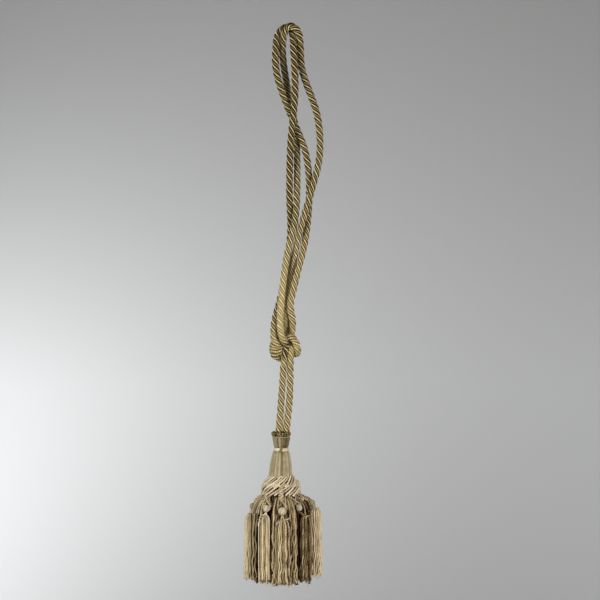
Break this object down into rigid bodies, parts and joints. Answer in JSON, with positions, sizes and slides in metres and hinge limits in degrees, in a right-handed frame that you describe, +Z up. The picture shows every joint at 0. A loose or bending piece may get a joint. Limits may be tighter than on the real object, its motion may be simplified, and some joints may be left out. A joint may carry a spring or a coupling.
{
  "type": "curtain tieback tassel",
  "caption": "Curtain tieback tassel: a knotted rope in long loops that hang from a hook, with a bell-shaped mould, a ruff and a yarn skirt with small tassels.",
  "frame": {"origin": "where the hook bears, under the crowns of both rope loops", "axes": "+Z up along the hanging tieback, -Y towards the front, +Y towards the wall"},
  "size_m": [0.0929, 0.0874, 0.6586],
  "materials": {
    "rope_yarn": "twisted olive gold yarn with thin cream yarn in its grooves, soft sheen",
    "rim_cord": "thin twisted olive cord, dull",
    "cap_thread": "upright olive gold threads, soft sheen",
    "band_satin": "wound cream satin thread",
    "neck_thread": "smooth upright threads, soft sheen",
    "ruff_cord": "slanting twisted cream cords",
    "skirt_yarn": "loose wavy twisted yarn in olive gold and brown",
    "fringe_yarn": "loose wavy twisted yarn in pale gold",
    "ball_thread": "cream thread wound over a bead",
    "hanger_cord": "thin twisted tan cord"
  },
  "bodies": {
    "root": {"rope": "rope_yarn", "cap_rim": "rim_cord", "cap": "cap_thread", "neck_band": "band_satin", "neck": "neck_thread", "ruff": "ruff_cord", "skirt": "skirt_yarn", "small_tassel_1": "fringe_yarn", "small_tassel_2": "fringe_yarn", "small_tassel_3": "fringe_yarn", "small_tassel_4": "fringe_yarn", "small_tassel_5": "fringe_yarn", "small_tassel_6": "fringe_yarn", "small_tassel_7": "fringe_yarn", "small_tassel_8": "fringe_yarn", "small_tassel_9": "fringe_yarn", "ball_1": "ball_thread", "ball_2": "ball_thread", "ball_3": "ball_thread", "ball_4": "ball_thread", "ball_5": "ball_thread", "ball_6": "ball_thread", "ball_7": "ball_thread", "ball_8": "ball_thread", "ball_9": "ball_thread", "hanger_1": "hanger_cord", "hanger_2": "hanger_cord", "hanger_3": "hanger_cord", "hanger_4": "hanger_cord", "hanger_5": "hanger_cord", "hanger_6": "hanger_cord", "hanger_7": "hanger_cord", "hanger_8": "hanger_cord", "hanger_9": "hanger_cord"}
  },
  "joints": []
}
